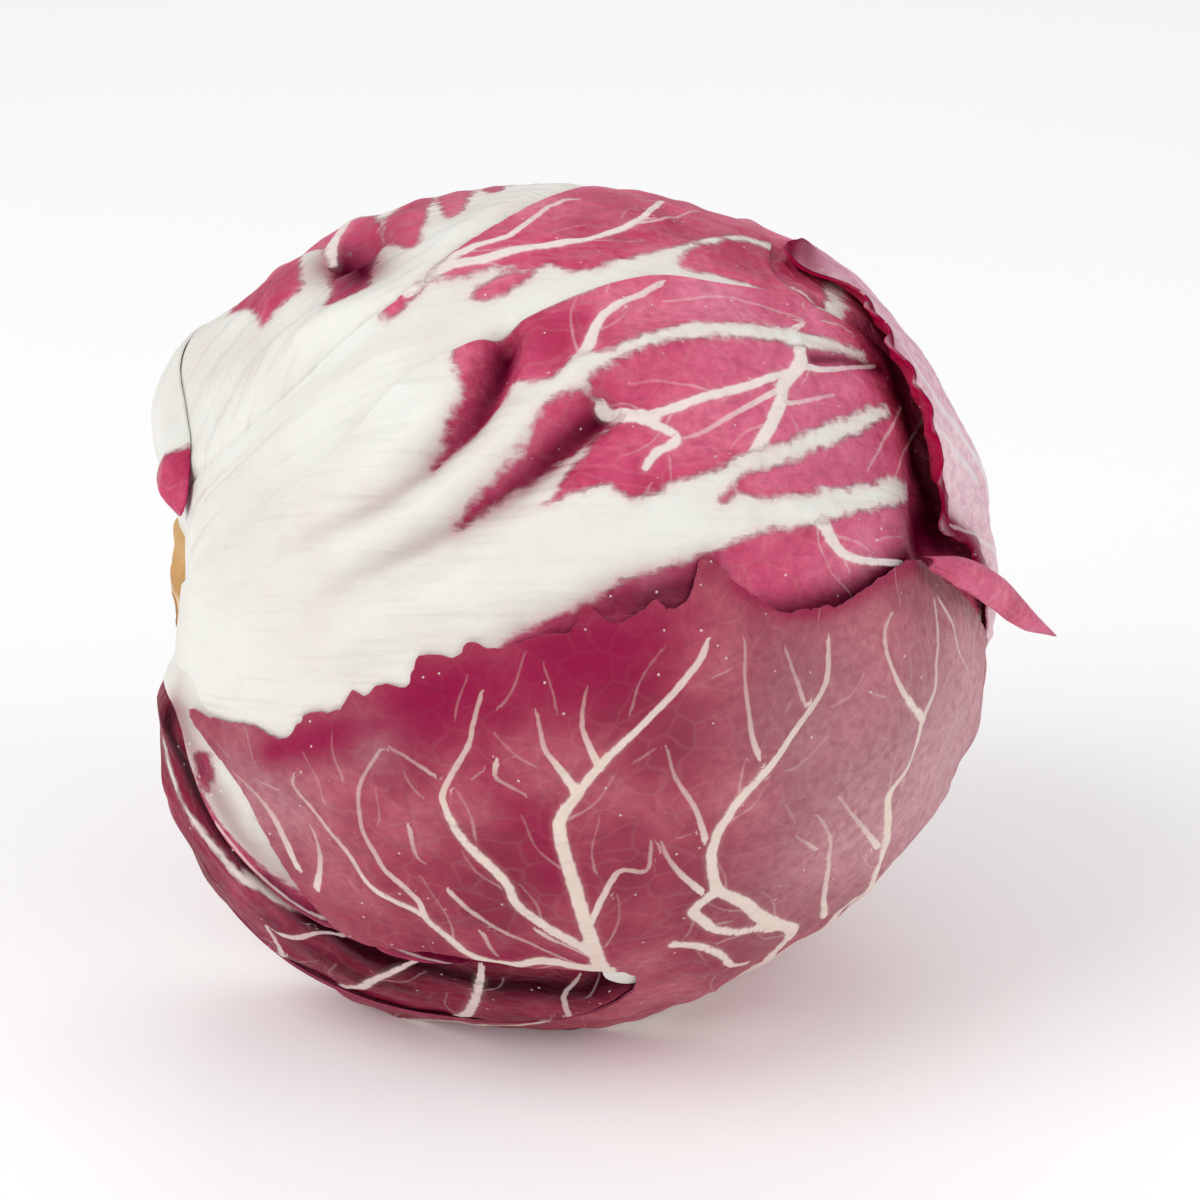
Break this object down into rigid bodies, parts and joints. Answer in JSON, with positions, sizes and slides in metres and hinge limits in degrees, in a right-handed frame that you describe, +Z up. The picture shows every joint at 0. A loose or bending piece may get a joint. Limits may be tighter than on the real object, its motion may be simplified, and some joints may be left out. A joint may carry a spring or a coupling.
{
  "type": "radicchio head",
  "caption": "Round radicchio head lying on its side: white-ribbed crimson leaves nested round a stem core, with a wrapping outer leaf below and a crown leaf closing the tip.",
  "frame": {"origin": "centre of the bounding box's underside, on the surface the head lies on", "axes": "+X from the cut stem to the crown, +Z up, -Y towards the side where the wrapping leaf's toothed edge shows"},
  "size_m": [0.1176, 0.1138, 0.1071],
  "materials": {
    "wrapper_leaf": "dusty red leaf blade with pale raised veins and a faint waxy bloom",
    "crown_leaf": "mauve leaf blade dulled by waxy bloom, with a crimson edge",
    "white_leaf": "thick white ribs, faintly pink and satin, running out into crimson blade",
    "crimson_leaf": "crimson leaf blade with white veins, softly satin",
    "inner_leaf": "pale inner leaf, white ribs and pink blade, satin",
    "stem_core": "cut stem, dry and tan brown with a paler rim"
  },
  "bodies": {
    "root": {"stem_core": "stem_core", "heart_bud": "inner_leaf", "wrapper_leaf": "wrapper_leaf", "crown_leaf": "crown_leaf", "side_leaf": "white_leaf", "lower_left_leaf": "crimson_leaf", "front_leaf": "white_leaf", "crown_inner_leaf": "crimson_leaf", "top_leaf": "white_leaf", "shoulder_leaf": "crimson_leaf", "bottom_leaf": "crimson_leaf", "under_leaf": "crimson_leaf", "back_leaf": "crimson_leaf", "inner_leaf_01": "inner_leaf", "inner_leaf_02": "inner_leaf", "inner_leaf_03": "inner_leaf", "inner_leaf_04": "inner_leaf", "inner_leaf_05": "inner_leaf", "inner_leaf_06": "inner_leaf", "inner_leaf_07": "inner_leaf", "inner_leaf_08": "inner_leaf", "inner_leaf_09": "inner_leaf"}
  },
  "joints": []
}
